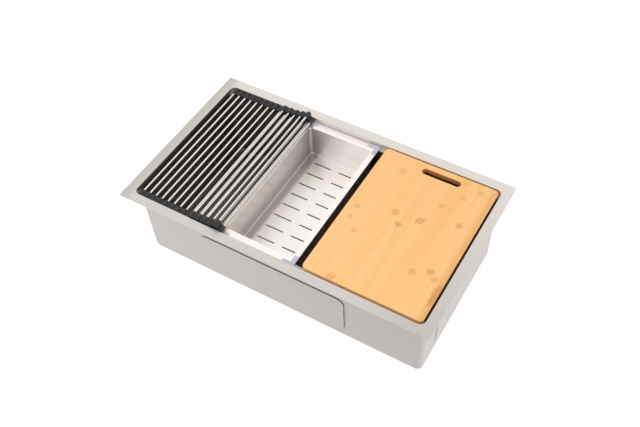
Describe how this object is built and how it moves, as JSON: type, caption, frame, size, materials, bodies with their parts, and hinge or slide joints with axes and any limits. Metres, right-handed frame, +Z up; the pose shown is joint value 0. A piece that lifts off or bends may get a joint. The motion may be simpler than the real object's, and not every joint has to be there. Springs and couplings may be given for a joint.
{
  "type": "workstation kitchen sink",
  "caption": "Deep single-bowl kitchen sink with a ledge that carries a roll-up drying rack, a slotted colander tray and a cutting board, with its strainer and waste.",
  "frame": {"origin": "middle of the opening, in the plane of the rim's top face, where the sink meets the worktop", "axes": "+X along the rim to the right, +Y to the back, +Z up"},
  "size_m": [0.8382, 0.4826, 0.4153],
  "materials": {
    "satin_steel": "satin brushed rim, matt walls",
    "sound_coat": "matt sprayed coat over rubber",
    "polished_steel": "polished",
    "black_rubber": "matt",
    "washer_fibre": "matt fibre",
    "white_plastic": "moulded, matt",
    "rod_steel": "bright drawn",
    "black_silicone": "matt silicone",
    "tray_steel": "satin brushed",
    "guard_plastic": "moulded, matt",
    "bamboo": "oiled bamboo"
  },
  "bodies": {
    "sink": {"bowl": "satin_steel", "front_sound_pad": "sound_coat", "back_sound_pad": "sound_coat", "left_sound_pad": "sound_coat", "right_sound_pad": "sound_coat", "left_floor_pad": "sound_coat", "right_floor_pad": "sound_coat", "strainer_body": "polished_steel", "strainer_seal": "black_rubber", "rubber_gasket": "black_rubber", "slip_washer": "washer_fibre", "lock_nut": "white_plastic", "tail_washer": "white_plastic", "tailpiece": "polished_steel", "coupling_nut": "white_plastic"},
    "basket": {"basket_shell": "polished_steel", "basket_stopper": "black_rubber", "basket_post": "polished_steel"},
    "rack": {"rod_01": "rod_steel", "rod_02": "rod_steel", "rod_03": "rod_steel", "rod_04": "rod_steel", "rod_05": "rod_steel", "rod_06": "rod_steel", "rod_07": "rod_steel", "rod_08": "rod_steel", "rod_09": "rod_steel", "rod_10": "rod_steel", "rod_11": "rod_steel", "rod_12": "rod_steel", "rod_13": "rod_steel", "rod_14": "rod_steel", "rack_band_front": "black_silicone", "rack_band_back": "black_silicone"},
    "rack_fold": {"rod_15": "rod_steel", "fold_band_front": "black_silicone", "fold_band_back": "black_silicone"},
    "rack_flap": {"rod_16": "rod_steel", "rod_17": "rod_steel", "rod_18": "rod_steel", "rod_19": "rod_steel", "flap_band_front": "black_silicone", "flap_band_back": "black_silicone"},
    "colander": {"colander_tray": "tray_steel", "corner_guard_front_left": "guard_plastic", "corner_guard_front_right": "guard_plastic", "corner_guard_back_left": "guard_plastic", "corner_guard_back_right": "guard_plastic"},
    "board": {"cutting_board": "bamboo"}
  },
  "joints": [
    {"name": "rack_lift", "type": "slide", "parent": "sink", "child": "rack", "axis": [0, 0, 1], "range_m": [0, 0.2]},
    {"name": "fold_hinge", "type": "hinge", "parent": "rack", "child": "rack_fold", "pos_m": [-0.13929, 0, -0.00391], "axis": [0, 1, 0], "range_deg": [0, 124]},
    {"name": "flap_hinge", "type": "hinge", "parent": "rack_fold", "child": "rack_flap", "pos_m": [-0.14962, 0, 0.0114], "axis": [0, 1, 0], "range_deg": [0, 65.8]},
    {"name": "colander_slide", "type": "slide", "parent": "sink", "child": "colander", "axis": [1, 0, 0], "range_m": [0, 0.02]},
    {"name": "board_lift", "type": "slide", "parent": "sink", "child": "board", "axis": [0, 0, 1], "range_m": [0, 0.25]},
    {"name": "basket_lift", "type": "slide", "parent": "sink", "child": "basket", "axis": [0, 0, 1], "range_m": [0, 0.08]}
  ],
  "couplings": [
    {"joint": "flap_hinge", "follows": "fold_hinge", "ratio": 0.53}
  ]
}
